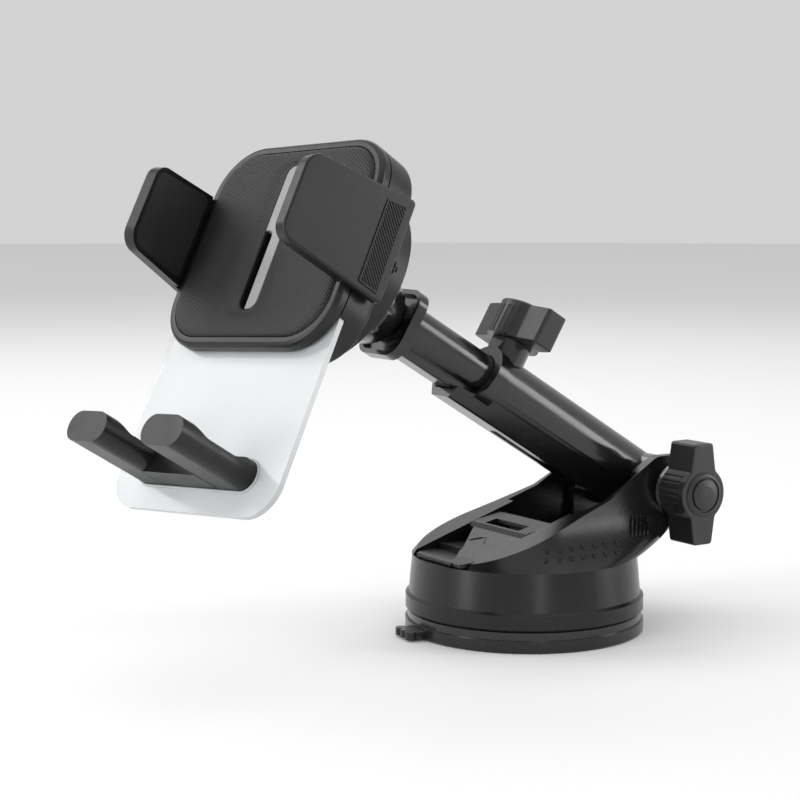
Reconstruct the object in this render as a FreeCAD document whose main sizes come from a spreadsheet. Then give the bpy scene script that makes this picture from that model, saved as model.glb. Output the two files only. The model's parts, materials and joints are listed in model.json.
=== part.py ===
import FreeCAD, Part
import math
import os

import Sketcher
from FreeCAD import Placement, Rotation, Vector

# Suction-cup phone mount: base with locking lever, telescopic arm, ball joint and clamping head.
# Frame: +Z up, front (phone side) is -Y, pivot knob on +X, origin at the centre of the suction
# face on the surface it stands on. Millimetres.

doc = FreeCAD.newDocument("PhoneMount")

# ---------------------------------------------------------------------------------------------
# Driving dimensions
# ---------------------------------------------------------------------------------------------
DIMENSIONS = {
    # suction base
    "pad_radius": 41.0, "pad_rim_height": 4.1, "pad_web": 1.9, "pad_lift": 2.9,
    "ring_radius": 40.3, "ring_top": 7.3, "skirt_radius": 40.9, "skirt_mid_radius": 39.8,
    "skirt_top_radius": 38.6, "bead_top": 12.9, "skirt_top": 26.0, "deck_under": 23.4,
    "stem_radius": 5.4, "stem_bore": 6.2, "plunger_radius": 12.0, "spring_radius": 8.4,
    "spring_wire": 0.9, "cheek_half": 23.0, "channel_half": 16.0, "channel_floor": 28.0,
    "cover_front_z": 25.7, "lever_y": -4.5, "lever_z": 33.3, "lever_half": 15.5,
    "cam_pin_radius": 1.5,
    # arm pivot
    "pivot_y": 48.0, "pivot_z": 46.8, "arm_angle": 31.3, "bolt_radius": 3.0,
    "knuckle_half": 14.6, "knuckle_radius": 10.6,
    # two-wing knobs
    "knob_radius": 9.4, "knob_depth": 12.6, "wing_reach": 17.4, "wing_tip_half": 4.0,
    "wing_root_half": 5.4, "cap_radius": 7.6, "knob_back": 24.8,
    # telescopic arm
    "tube_radius": 11.0, "tube_keel": 13.0, "tube_length": 79.2,
    "lug_length": 89.8, "inner_radius": 7.8, "inner_keel": 9.8, "inner_start": 46.0,
    "flange_at": 116.2, "flange_depth": 3.6, "flange_half": 12.0, "clamp_at": 72.8,
    "knob_seat": 16.0,
    # ball joint
    "ball_at": 131.0, "ball_drop": -1.2, "ball_radius": 8.5, "seat_outer": 9.6,
    "socket_radius": 9.8, "head_yaw": 11.7, "head_pitch": -30.4, "head_roll": -3.7,
    # head
    "drum_radius": 32.0, "drum_back": 16.0, "shell_back": 28.0, "seam": 40.0,
    "bezel_front": 44.2, "pad_face": 45.4, "head_half": 37.2, "head_top": 33.6,
    "head_bottom": -37.6, "head_corner": 17.0, "slot_left": -4.5, "slot_right": 3.6, "slot_top": 25.0,
    "slot_bottom": -25.4, "bar_step": -0.8, "bar_shoulder": 1.9, "gear_module": 1.0, "pinion_radius": 6.0, "rack_back": 33.0,
    "rack_front": 36.6,
    # clamp arms
    "arm_root": 41.6, "arm_root_n": 34.0, "arm_lean": 8.0, "arm_back": 31.5, "arm_front": 72.2,
    "arm_plate": 2.6, "arm_pad": 1.4, "arm_top": 17.2, "arm_bottom": -17.6,
    "arm_tip_top": 12.2, "arm_tip_bottom": -15.8,
    # foot
    "plate_back": 37.7, "plate_front": 39.6, "plate_half": 36.0, "plate_bottom": -90.0,
    "plate_top": -19.0, "prong_at": 17.0, "prong_half": 8.6, "prong_reach": 71.0,
    "fork_top": -72.5, "fork_bottom": -82.2,
}

sheet = doc.addObject("Spreadsheet::Sheet", "Dims")
for row, (alias, value) in enumerate(DIMENSIONS.items(), start=1):
    sheet.set(f"A{row}", alias)
    sheet.set(f"B{row}", str(value))
    sheet.setAlias(f"B{row}", alias)
doc.recompute()


class Size:
    """A number together with the sheet expression that gives it."""

    def __init__(self, value, text=None):
        self.value = float(value)
        self.text = text if text is not None else repr(float(value))
        self.bound = text is not None

    def _join(self, other, sign, result):
        joined = Size(result, f"({self.text} {sign} {other.text})")
        joined.bound = self.bound or other.bound
        return joined

    def __add__(self, other):
        other = size(other)
        return self._join(other, "+", self.value + other.value)

    def __radd__(self, other):
        return size(other) + self

    def __sub__(self, other):
        other = size(other)
        return self._join(other, "-", self.value - other.value)

    def __rsub__(self, other):
        return size(other) - self

    def __mul__(self, other):
        other = size(other)
        return self._join(other, "*", self.value * other.value)

    def __rmul__(self, other):
        return size(other) * self

    def __truediv__(self, other):
        other = size(other)
        return self._join(other, "/", self.value / other.value)

    def __neg__(self):
        return 0 - self


def size(number):
    return number if isinstance(number, Size) else Size(number)


class Sheet:
    """Reads a dimension by its alias."""

    def __getattr__(self, alias):
        return Size(float(sheet.get(alias)), "Dims." + alias)


D = Sheet()


def bind(obj, prop, number):
    number = size(number)
    setattr(obj, prop, number.value)
    if number.bound:
        obj.setExpression(prop, number.text)


# ---------------------------------------------------------------------------------------------
# Modelling helpers: bodies, sketches from outlines, slabs, turned shapes and primitives
# ---------------------------------------------------------------------------------------------
PARTS = []
PLANE = {"X": "YZ_Plane", "Y": "XZ_Plane", "Z": "XY_Plane"}
TURN = {"X": Rotation(Vector(0, 1, 0), 90), "Y": Rotation(Vector(1, 0, 0), -90), "Z": Rotation()}


def body(label, frame=None):
    made = doc.addObject("PartDesign::Body", label)
    made.Label = label
    made.Placement = frame or Placement()
    PARTS.append(made)
    return made


def extra(made, tag):
    """A further body of an existing node, exported with it as a separate solid."""
    more = doc.addObject("PartDesign::Body", f"{made.Name}_{tag}")
    more.Placement = made.Placement
    EXTRAS.setdefault(made.Label, []).append(more)
    return more


EXTRAS = {}


def origin_plane(owner, role):
    return next(item for item in owner.Origin.OriginFeatures if item.Role == role)


def rounded_corner(before, corner, after, radius):
    """Ends and centre of the arc that rounds a corner."""
    first = (before - corner).normalize()
    second = (after - corner).normalize()
    half = math.acos(max(-1.0, min(1.0, first.dot(second)))) / 2
    reach = radius / math.tan(half)
    middle = (first + second).normalize() * (radius / math.sin(half))
    return corner + first * reach, corner + middle, corner + second * reach


def add_outline(sketch, outline):
    """A closed outline of (x, y) or (x, y, corner radius), every corner held by constraints."""
    points = [(size(p[0]), size(p[1]), size(p[2]) if len(p) > 2 else None) for p in outline]
    corners = [Vector(x.value, y.value, 0) for x, y, _ in points]
    count = len(points)
    ends = []
    for i, (_, _, radius) in enumerate(points):
        if radius is None:
            ends.append((corners[i], None, corners[i]))
        else:
            ends.append(rounded_corner(corners[i - 1], corners[i], corners[(i + 1) % count],
                                       radius.value))
    base = sketch.GeometryCount
    lines = [Part.LineSegment(ends[i][2], ends[(i + 1) % count][0]) for i in range(count)]
    sketch.addGeometry(lines, False)
    rules, bound = [], []
    first_rule = sketch.ConstraintCount

    def rule(*args):
        rules.append(Sketcher.Constraint(*args))

    def sized(number, *args):
        if number.bound:
            bound.append((first_rule + len(rules), number.text))
        rule(*args, number.value)

    index = base + count
    for i, (x, y, radius) in enumerate(points):
        coming, going = base + (i - 1) % count, base + i
        if radius is None:
            rule("Coincident", coming, 2, going, 1)
            sized(x, "DistanceX", -1, 1, going, 1)
            sized(y, "DistanceY", -1, 1, going, 1)
            continue
        start, centre, stop = ends[i]
        from_angle = math.atan2(start.y - centre.y, start.x - centre.x)
        to_angle = math.atan2(stop.y - centre.y, stop.x - centre.x)
        turn = (stop - centre).cross(start - centre).z
        if turn > 0:
            from_angle, to_angle = to_angle, from_angle
        circle = Part.Circle(centre, Vector(0, 0, 1), radius.value)
        sketch.addGeometry(Part.ArcOfCircle(circle, from_angle, to_angle), False)
        arc = index
        sketch.addGeometry(Part.Point(corners[i]), True)
        mark = index + 1
        index += 2
        head, tail = (2, 1) if turn > 0 else (1, 2)
        rule("Tangent", coming, 2, arc, head)
        rule("Tangent", arc, tail, going, 1)
        sized(radius, "Radius", arc)
        rule("PointOnObject", mark, 1, coming)
        rule("PointOnObject", mark, 1, going)
        sized(x, "DistanceX", -1, 1, mark, 1)
        sized(y, "DistanceY", -1, 1, mark, 1)
    sketch.addConstraint(rules)
    for number, text in bound:
        sketch.setExpression(f"Constraints[{number}]", text)


def add_circle(sketch, x, y, radius):
    x, y, radius = size(x), size(y), size(radius)
    circle = sketch.addGeometry(Part.Circle(Vector(x.value, y.value, 0), Vector(0, 0, 1),
                                            radius.value), False)
    for kind, ref, number in (("DistanceX", 1, x), ("DistanceY", 1, y)):
        made = sketch.addConstraint(Sketcher.Constraint(kind, -1, 1, circle, 3, number.value))
        if number.bound:
            sketch.setExpression(f"Constraints[{made}]", number.text)
    made = sketch.addConstraint(Sketcher.Constraint("Radius", circle, radius.value))
    if radius.bound:
        sketch.setExpression(f"Constraints[{made}]", radius.text)


def sketch_on(owner, role, shapes, offset=0):
    sketch = owner.newObject("Sketcher::SketchObject", f"{owner.Name}_sketch")
    sketch.AttachmentSupport = [(origin_plane(owner, role), "")]
    sketch.MapMode = "FlatFace"
    offset = size(offset)
    sketch.AttachmentOffset = Placement(Vector(0, 0, offset.value), Rotation())
    if offset.bound:
        sketch.setExpression("AttachmentOffset.Base.z", offset.text)
    for shape in shapes:
        if isinstance(shape, tuple):
            add_circle(sketch, *shape)
        else:
            add_outline(sketch, shape)
    return sketch


def volume_before(owner):
    doc.recompute()
    return owner.Shape.Volume


def check_cut(owner, feature, before):
    doc.recompute()
    if owner.Shape.Volume >= before - 1e-6:
        raise ValueError(f"{feature.Name} removes nothing from {owner.Label}")


def slab(owner, axis, shape, low, high, cut=False, more=()):
    """A straight extrusion of an outline along an axis, from low to high."""
    low, high = size(low), size(high)
    offset = -high if axis == "Y" else low
    before = volume_before(owner) if cut else 0.0
    sketch = sketch_on(owner, PLANE[axis], [shape, *more], offset)
    kind = "PartDesign::Pocket" if cut else "PartDesign::Pad"
    feature = owner.newObject(kind, f"{owner.Name}_{'pocket' if cut else 'pad'}")
    feature.Profile = sketch
    bind(feature, "Length", high - low)
    if cut:
        feature.Reversed = True
        check_cut(owner, feature, before)
    return feature


def turned(owner, axis, outline, cut=False):
    """A full turn of an outline given as (radius, distance along the axis)."""
    before = volume_before(owner) if cut else 0.0
    if axis == "Z":
        sketch = sketch_on(owner, "XZ_Plane", [outline])
        line = "V_Axis"
    elif axis == "Y":
        sketch = sketch_on(owner, "XY_Plane", [outline])
        line = "V_Axis"
    else:
        flipped = [(p[1], p[0], *p[2:]) for p in outline]
        sketch = sketch_on(owner, "XY_Plane", [flipped])
        line = "H_Axis"
    kind = "PartDesign::Groove" if cut else "PartDesign::Revolution"
    feature = owner.newObject(kind, f"{owner.Name}_turn")
    feature.Profile = sketch
    feature.ReferenceAxis = (sketch, [line])
    feature.Angle = 360.0
    if cut:
        check_cut(owner, feature, before)
    return feature


def primitive(owner, kind, at, rotation=None, cut=False, **sizes):
    before = volume_before(owner) if cut else 0.0
    side = "Subtractive" if cut else "Additive"
    feature = owner.newObject(f"PartDesign::{side}{kind}", f"{owner.Name}_{kind.lower()}")
    for prop, number in sizes.items():
        bind(feature, prop, number)
    spot = [size(value) for value in at]
    feature.Placement = Placement(Vector(*(value.value for value in spot)), rotation or Rotation())
    for letter, value in zip("xyz", spot):
        if value.bound:
            feature.setExpression(f"Placement.Base.{letter}", value.text)
    if cut:
        check_cut(owner, feature, before)
    return feature


def rod(owner, axis, radius, at, length, cut=False):
    """A cylinder that starts at a point and runs along +axis."""
    return primitive(owner, "Cylinder", at, TURN[axis], cut, Radius=radius, Height=length)


def block(owner, low, high, cut=False, rotation=None):
    low, high = [size(v) for v in low], [size(v) for v in high]
    return primitive(owner, "Box", low, rotation, cut, Length=high[0] - low[0],
                     Width=high[1] - low[1], Height=high[2] - low[2])


def sphere(owner, radius, at, cut=False):
    return primitive(owner, "Sphere", at, None, cut, Radius=radius)


def round_edges(owner, radius, pick, kind="Fillet"):
    """Rounds the edges for which pick(middle, direction, edge) is true."""
    doc.recompute()
    tip = owner.Tip
    shape = tip.Shape
    names = []
    for number, edge in enumerate(shape.Edges, start=1):
        low, high = edge.ParameterRange
        middle = edge.valueAt((low + high) / 2)
        direction = edge.tangentAt((low + high) / 2)
        if pick(middle, direction, edge):
            names.append(f"Edge{number}")
    if not names:
        raise ValueError(f"no edge to round on {owner.Label}")
    feature = owner.newObject(f"PartDesign::{kind}", f"{owner.Name}_{kind.lower()}")
    feature.Base = (tip, names)
    bind(feature, "Radius" if kind == "Fillet" else "Size", radius)
    doc.recompute()
    return feature


def along(letter):
    pointer = {"X": Vector(1, 0, 0), "Y": Vector(0, 1, 0), "Z": Vector(0, 0, 1)}[letter]
    return lambda direction: abs(direction.dot(pointer)) > 0.999


def rectangle(x0, y0, x1, y1, radius=None):
    corners = [(x0, y0), (x1, y0), (x1, y1), (x0, y1)]
    return [(*corner, radius) for corner in corners] if radius is not None else corners


def frame(x=0, y=0, z=0, rotation=None):
    return Placement(Vector(*(size(v).value for v in (x, y, z))), rotation or Rotation())


def tilt(angle):
    return Rotation(Vector(1, 0, 0), size(angle).value)


# Frames that the moving groups are built in. In each, the front is -Y and the top +Z.
PIVOT = frame(0, D.pivot_y, D.pivot_z)
ARM = PIVOT.multiply(frame(rotation=tilt(-D.arm_angle)))
CLAMP = ARM.multiply(frame(0, -D.clamp_at, D.knob_seat))
BALL = ARM.multiply(frame(0, -D.ball_at, D.ball_drop))
HEAD_TURN = (Rotation(Vector(0, 0, 1), D.head_yaw.value)
             .multiply(Rotation(Vector(1, 0, 0), D.head_pitch.value))
             .multiply(Rotation(Vector(0, 1, 0), D.head_roll.value)))
HEAD = Placement(BALL.Base, HEAD_TURN)
LEVER = frame(0, D.lever_y, D.lever_z)

# ---------------------------------------------------------------------------------------------
# Suction base
# ---------------------------------------------------------------------------------------------
# Gel pad: thick rim, thin web pulled up in the middle, and a scalloped release tab in front.
pad = body("suction_pad")
turned(pad, "Z", [
    (0, D.pad_lift), (10.5, D.pad_lift), (26, 0), (D.pad_radius - 0.6, 0),
    (D.pad_radius, 0.6), (D.pad_radius, D.pad_rim_height), (36, D.pad_rim_height),
    (35, D.pad_web), (26.5, D.pad_web), (11, D.pad_lift + D.pad_web + 0.1),
    (0, D.pad_lift + D.pad_web + 0.1)])
TAB_TURN = Rotation(Vector(0, 0, 1), -98)
tab_spot = TAB_TURN.multVec(Vector(D.pad_radius.value - 1.5, -5.5, 0.9))
primitive(pad, "Box", tuple(tab_spot), TAB_TURN, Length=5.4, Width=11, Height=2.2)
for step in (-3.9, 0, 3.9):
    spot = TAB_TURN.multVec(Vector(D.pad_radius.value + 4.0, step, 0.7))
    rod(pad, "Z", 1.9, tuple(spot), 2.6)

ring = body("trim_ring")
turned(ring, "Z", [
    (36.4, D.pad_rim_height), (D.ring_radius, D.pad_rim_height),
    (D.ring_radius, D.ring_top - 0.5), (D.ring_radius - 0.5, D.ring_top), (36.4, D.ring_top)])

# Drum-shaped skirt with a bead round its foot, a deck on top and a spring tube in the middle.
skirt = body("base_skirt")
turned(skirt, "Z", [
    (38, D.ring_top), (D.skirt_radius - 0.4, D.ring_top), (D.skirt_radius, D.ring_top + 0.5),
    (D.skirt_radius, D.bead_top - 0.5), (D.skirt_mid_radius, D.bead_top + 0.3),
    (D.skirt_top_radius, D.skirt_top), (D.stem_bore, D.skirt_top), (D.stem_bore, D.deck_under),
    (10.6, D.deck_under), (10.6, 17), (12.6, 17), (12.6, D.deck_under), (36.2, D.deck_under),
    (37.3, D.bead_top), (38, D.bead_top - 1)])
SCREW_SPOTS = [(30 * math.cos(math.radians(a)), 30 * math.sin(math.radians(a)))
               for a in (35, 145, 215, 325)]
for x, y in SCREW_SPOTS:
    rod(skirt, "Z", 3.6, (x, y, 12), D.deck_under - 11.5)
for x, y in SCREW_SPOTS:
    rod(skirt, "Z", 2.7, (x, y, 11), 4, cut=True)
    rod(skirt, "Z", 1.5, (x, y, 14), 14, cut=True)

screws = body("base_screws")
for number, (x, y) in enumerate(SCREW_SPOTS):
    screw = screws if number == 0 else extra(screws, str(number))
    turned_at = [(0, 12.8), (2.3, 12.8), (2.5, 13.1), (2.5, 15), (1.3, 15), (1.3, 31.5), (0, 32.5)]
    screw.Placement = frame(x, y, 0)
    turned(screw, "Z", turned_at)
    block(screw, (-1.6, -0.3, 12.7), (1.6, 0.3, 13.6), cut=True)

# Cover: a round foot that draws in to two cheeks, which rise to the ears that hold the arm.
cover = body("base_cover")


def add_stadium(sketch, radius, front, rear):
    """A stadium outline drawn out along Y, with its two end arcs centred at front and rear."""
    for centre, low, high in ((front, math.pi, 2 * math.pi), (rear, 0, math.pi)):
        circle = Part.Circle(Vector(0, centre.value, 0), Vector(0, 0, 1), radius.value)
        sketch.addGeometry(Part.ArcOfCircle(circle, low, high), False)
    right = Part.LineSegment(Vector(radius.value, front.value, 0),
                             Vector(radius.value, rear.value, 0))
    left = Part.LineSegment(Vector(-radius.value, rear.value, 0),
                            Vector(-radius.value, front.value, 0))
    sketch.addGeometry([right, left], False)
    tangent = [("Tangent", 0, 2, 2, 1), ("Tangent", 2, 2, 1, 1),
               ("Tangent", 1, 2, 3, 1), ("Tangent", 3, 2, 0, 1)]
    sketch.addConstraint([Sketcher.Constraint(*item) for item in tangent])
    sketch.addConstraint(Sketcher.Constraint("Equal", 0, 1))
    rules = [("DistanceX", -1, 1, 0, 3, 0.0, None), ("DistanceX", -1, 1, 1, 3, 0.0, None),
             ("DistanceY", -1, 1, 0, 3, front.value, front),
             ("DistanceY", -1, 1, 1, 3, rear.value, rear),
             ("Radius", 0, radius.value, radius)]
    for *args, source in rules:
        made = sketch.addConstraint(Sketcher.Constraint(*args))
        if source is not None and source.bound:
            sketch.setExpression(f"Constraints[{made}]", source.text)


sections = []
for radius, front, rear, height in (
        (D.skirt_top_radius, -0.2, 0.2, D.skirt_top),
        (D.cheek_half + 1.2, -3, D.pivot_y - 8, 39),
        (D.cheek_half - 3.5, 20, D.pivot_y + 4, 60)):
    section = cover.newObject("Sketcher::SketchObject", "cover_section")
    section.AttachmentSupport = [(origin_plane(cover, "XY_Plane"), "")]
    section.MapMode = "FlatFace"
    section.AttachmentOffset = frame(0, 0, height)
    if size(height).bound:
        section.setExpression("AttachmentOffset.Base.z", height.text)
    add_stadium(section, size(radius), size(front), size(rear))
    sections.append(section)
loft = cover.newObject("PartDesign::AdditiveLoft", "cover_loft")
loft.Profile = sections[0]
loft.Sections = sections[1:]
doc.recompute()

# The side view trims the loft: a straight slope in front, round ears and an undercut behind.
side = [(-41, D.cover_front_z), (20, D.cover_front_z + 19.4), (42.5, 58.2, 8), (60.2, 58.2, 10),
        (60.2, 37.5, 8), (51.5, 36, 3), (43.5, 30.6, 8), (36.6, D.skirt_top - 0.5),
        (36.6, D.skirt_top - 1.5), (-41, D.skirt_top - 1.5)]
slab(cover, "X", rectangle(-60, 10, 90, 90), -60, 60, cut=True, more=[side])
slab(cover, "X", [(-60, 25.5), (-28.5, 25.5), (-27.5, 26.1), (-14.5, D.channel_floor - 0.1),
                  (-10, D.channel_floor), (33, D.channel_floor), (41, 32.6), (70, 34.6), (70, 80),
                  (-60, 80)],
     -D.channel_half, D.channel_half, cut=True)
# between the lever pins and the ears the cheeks are thinner
slab(cover, "X", [(7, 30), (34, 30), (34, 80), (7, 80)], -D.cheek_half + 3.6, D.cheek_half - 3.6,
     cut=True)
rod(cover, "Z", D.stem_bore, (0, 0, 20), 20, cut=True)
for x, y in SCREW_SPOTS:
    rod(cover, "Z", 1.3, (x, y, 20), 12.6, cut=True)
for sign in (-1, 1):
    start = D.channel_half - 1 if sign > 0 else -D.channel_half - 3.4
    rod(cover, "X", 2.1, (start, D.lever_y, D.lever_z), 4.4, cut=True)
rod(cover, "X", D.bolt_radius + 0.05, (-40, D.pivot_y, D.pivot_z), 80, cut=True)
# flat seats for the bolt head and for the washer under the knob
rod(cover, "X", 9.6, (D.cheek_half, D.pivot_y, D.pivot_z), 12, cut=True)
rod(cover, "X", 7.6, (-D.cheek_half - 12, D.pivot_y, D.pivot_z), 12, cut=True)
# clearance for the knob's wings
rod(cover, "X", D.wing_reach + 1.1, (D.knob_back - 0.5, D.pivot_y, D.pivot_z), 20, cut=True)

# Plunger: disc bonded to the pad, stem with an eye that the lever's cross pin lifts.
plunger = body("plunger")
turned(plunger, "Z", [
    (0, D.pad_lift + D.pad_web + 0.1), (D.plunger_radius - 1.4, D.pad_lift + D.pad_web + 0.1),
    (D.plunger_radius - 1.4, D.pad_lift + D.pad_web + 2.4), (D.stem_radius, 7.6),
    (D.stem_radius, 27.8), (0, 27.8)])
slab(plunger, "X", [(-3.9, 27), (2.7, 27), (2.7, D.lever_z + 2.8, 2.6), (-3.9, D.lever_z + 2.8, 2.6)],
     -4, 4)
slab(plunger, "X", rectangle(-2.8, D.lever_z - 1.75, 1.6, D.lever_z + 1.65, 1.5), -5, 5, cut=True)

cam_pin = body("cam_pin")
rod(cam_pin, "X", D.cam_pin_radius, (-12, 0, D.lever_z), 24)

lever_pins = body("lever_pins")
rod(lever_pins, "X", 2.0, (10.4, D.lever_y, D.lever_z), 8.8)
pin_left = extra(lever_pins, "left")
rod(pin_left, "X", 2.0, (-19.2, D.lever_y, D.lever_z), 8.8)


def coil(owner, mean_radius, wire, low, high, turns, frame_radius=None):
    """A round-wire compression spring along Z."""
    profile = owner.newObject("Sketcher::SketchObject", f"{owner.Name}_wire")
    profile.AttachmentSupport = [(origin_plane(owner, "XZ_Plane"), "")]
    profile.MapMode = "FlatFace"
    add_circle(profile, mean_radius, size(low) + size(wire), wire)
    helix = owner.newObject("PartDesign::AdditiveHelix", f"{owner.Name}_helix")
    helix.Profile = profile
    helix.ReferenceAxis = (profile, ["V_Axis"])
    helix.Mode = "height-turns-angle"
    bind(helix, "Height", size(high) - low - 2 * size(wire))
    helix.Turns = turns
    return helix


plunger_spring = body("plunger_spring")
coil(plunger_spring, D.spring_radius, D.spring_wire, 7.9, D.deck_under - 0.1, 4.5)

# Locking lever: side plates on the stub pins, thumb lip over the skirt, scooped top.
lever = body("lock_lever", LEVER)
LY, LZ = D.lever_y, D.lever_z


def at_lever(points):
    return [(size(p[0]) - LY, size(p[1]) - LZ, *p[2:]) for p in points]


slab(lever, "X", at_lever([
    (-36.5, 26.3), (-36.5, 27.4, 0.8), (-30, 28.4, 2), (-12.5, 34.2), (-10.5, 35.6, 1.0),
    (2.5, 38.4, 3), (3.9, 34.6, 1), (2.9, 32.8), (0.4, 31.0), (-0.9, 29.8), (-2.6, 28.7),
    (-4.5, 28.3), (-14, 28.5, 2), (-30, 26.3, 2)]),
     -D.lever_half, D.lever_half)
# the front narrows to the thumb lip
for sign in (-1, 1):
    slab(lever, "Z", [(sign * 8.2, -36 - LY), (sign * 12.6, -36 - LY), (sign * 20, -20 - LY),
                      (sign * 20, -45 - LY), (sign * 8.2, -45 - LY)], -20, 20, cut=True)
# room for the plunger's eye
slab(lever, "X", [(0.2, -20), (12, -20), (12, 3.75), (5.2, 3.75), (3.5, 3.35), (0.2, 3.0)], -4.6, 4.6,
     cut=True)
# finger hollow behind the lip, open to one side, and a trough across the top
slab(lever, "Z", [(-20, -34.7 - LY), (7.2, -34.1 - LY, 1.2), (-12.4, -12.6 - LY, 1.2),
                  (-20, -11.4 - LY)], -3.9, 10, cut=True)
slab(lever, "Z", [(-20, -34.7 - LY), (6.2, -33.9 - LY, 1), (-2, -25 - LY), (-20, -25 - LY)],
     -5.6, 0, cut=True)
slab(lever, "X", at_lever([(-10.3, 42), (-9.6, 33.8, 0.8), (-5.6, 32.6, 0.8), (-4.9, 37.2),
                           (-4.9, 42)]), -9.5, 9.5, cut=True)
rod(lever, "X", 2.1, (-30, 0, 0), 60, cut=True)
rod(lever, "X", D.cam_pin_radius, (-12, -LY, 0), 24, cut=True)

# ---------------------------------------------------------------------------------------------
# Pivot: bolt through the ears, washers, friction discs and the two-wing knob
# ---------------------------------------------------------------------------------------------
pivot_bolt = body("pivot_bolt", PIVOT)
turned(pivot_bolt, "X", [
    (0, -D.cheek_half - 3.2), (5.6, -D.cheek_half - 3.2), (6.2, -D.cheek_half - 2.6),
    (6.2, -D.cheek_half), (D.bolt_radius, -D.cheek_half), (D.bolt_radius, 33.5),
    (D.bolt_radius - 0.6, 34), (0, 34)])
slab(pivot_bolt, "X", [(3.2 * math.cos(math.radians(60 * k)), 3.2 * math.sin(math.radians(60 * k)))
                       for k in range(6)],
     -D.cheek_half - 4, -D.cheek_half - 1.2, cut=True)

pivot_washer = body("pivot_washer", PIVOT)
turned(pivot_washer, "X", [
    (D.bolt_radius + 0.05, D.cheek_half), (9.0, D.cheek_half), (9.0, D.knob_back - 0.1),
    (D.bolt_radius + 0.05, D.knob_back - 0.1)])

discs = body("friction_discs", PIVOT)
turned(discs, "X", [(D.bolt_radius + 0.05, D.knuckle_half + 0.05), (9.6, D.knuckle_half + 0.05),
                    (9.6, D.channel_half), (D.bolt_radius + 0.05, D.channel_half)])
disc_left = extra(discs, "left")
turned(disc_left, "X", [(D.bolt_radius + 0.05, -D.channel_half), (9.6, -D.channel_half),
                        (9.6, -D.knuckle_half - 0.05), (D.bolt_radius + 0.05, -D.knuckle_half - 0.05)])


def wing_knob(label, place):
    """Two-wing knob: back face at z = 0, wings along X, finger ribs on the sides."""
    knob = body(label, place)
    depth = D.knob_depth
    rod(knob, "Z", D.knob_radius, (0, 0, 0), depth)
    slab(knob, "Z", [(-D.wing_reach, -D.wing_tip_half, 1.2), (-D.wing_reach, D.wing_tip_half, 1.2),
                     (-D.knob_radius + 1.6, D.wing_root_half, 2.5), (0, D.wing_root_half),
                     (D.knob_radius - 1.6, D.wing_root_half, 2.5),
                     (D.wing_reach, D.wing_tip_half, 1.2), (D.wing_reach, -D.wing_tip_half, 1.2),
                     (D.knob_radius - 1.6, -D.wing_root_half, 2.5), (0, -D.wing_root_half),
                     (-D.knob_radius + 1.6, -D.wing_root_half, 2.5)], 0, depth)
    radius = D.knob_radius.value
    round_edges(knob, 2.2, lambda middle, way, edge: along("Z")(way)
                and abs(math.hypot(middle.x, middle.y) - radius) < 0.3 and edge.Length > 5)
    for face_z in (0, depth.value):
        round_edges(knob, 0.5, lambda middle, way, edge: abs(middle.z - face_z) < 1e-4
                    and abs(way.z) < 1e-4)
    for sign in (-1, 1):
        for turn in range(-3, 4):
            angle = math.radians(90 * sign + 13.5 * turn)
            rod(knob, "Z", 0.62, ((radius + 0.25) * math.cos(angle),
                                  (radius + 0.25) * math.sin(angle), -1), depth - 1.4, cut=True)
    rod(knob, "Z", D.cap_radius, (0, 0, depth - 1.8), 3, cut=True)
    return knob


def knob_cap(label, place):
    cap = body(label, place)
    depth = D.knob_depth
    turned(cap, "Z", [(0, depth - 1.8), (D.cap_radius, depth - 1.8), (D.cap_radius, depth + 0.2),
                      (D.cap_radius - 0.6, depth + 0.8), (6.2, depth + 1.0), (6.0, depth + 0.5),
                      (5.5, depth + 0.5), (5.2, depth + 1.2), (3.0, depth + 1.6), (0, depth + 1.7)])
    return cap


KNOB = PIVOT.multiply(frame(D.knob_back, 0, 0, Rotation(Vector(0, 1, 0), 90)))
pivot_knob = wing_knob("pivot_knob", KNOB)
slab(pivot_knob, "Z", [(5 * math.cos(math.radians(60 * k)), 5 * math.sin(math.radians(60 * k)))
                       for k in range(6)], 3.0, 9.4, cut=True)
rod(pivot_knob, "Z", D.bolt_radius + 0.1, (0, 0, -1), 8, cut=True)
pivot_cap = knob_cap("pivot_cap", KNOB)
pivot_nut = body("pivot_nut", KNOB)
slab(pivot_nut, "Z", [(5 * math.cos(math.radians(60 * k)), 5 * math.sin(math.radians(60 * k)))
                      for k in range(6)], 3.0, 8.0, more=[(0, 0, D.bolt_radius)])

# ---------------------------------------------------------------------------------------------
# Telescopic arm. Distances along the tube are counted from the pivot towards -Y.
# ---------------------------------------------------------------------------------------------
outer = body("outer_tube", ARM)
rod(outer, "Y", D.tube_radius, (0, -D.tube_length - 3, 0), D.tube_length + 3)
slab(outer, "Y", [(-4.8, -D.tube_keel, 1.2), (4.8, -D.tube_keel, 1.2), (10.3, -4.2, 1), (10.3, 0),
                  (-10.3, 0), (-10.3, -4.2, 1)], -D.lug_length, -7)
rod(outer, "Y", D.tube_radius + 0.5, (0, -D.tube_length - 3, 0), 6.6)
rod(outer, "Z", 7.0, (0, -D.clamp_at, 4), D.knob_seat - 4.3)
rod(outer, "X", D.knuckle_radius, (-D.knuckle_half, 0, 0), 2 * D.knuckle_half)
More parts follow.
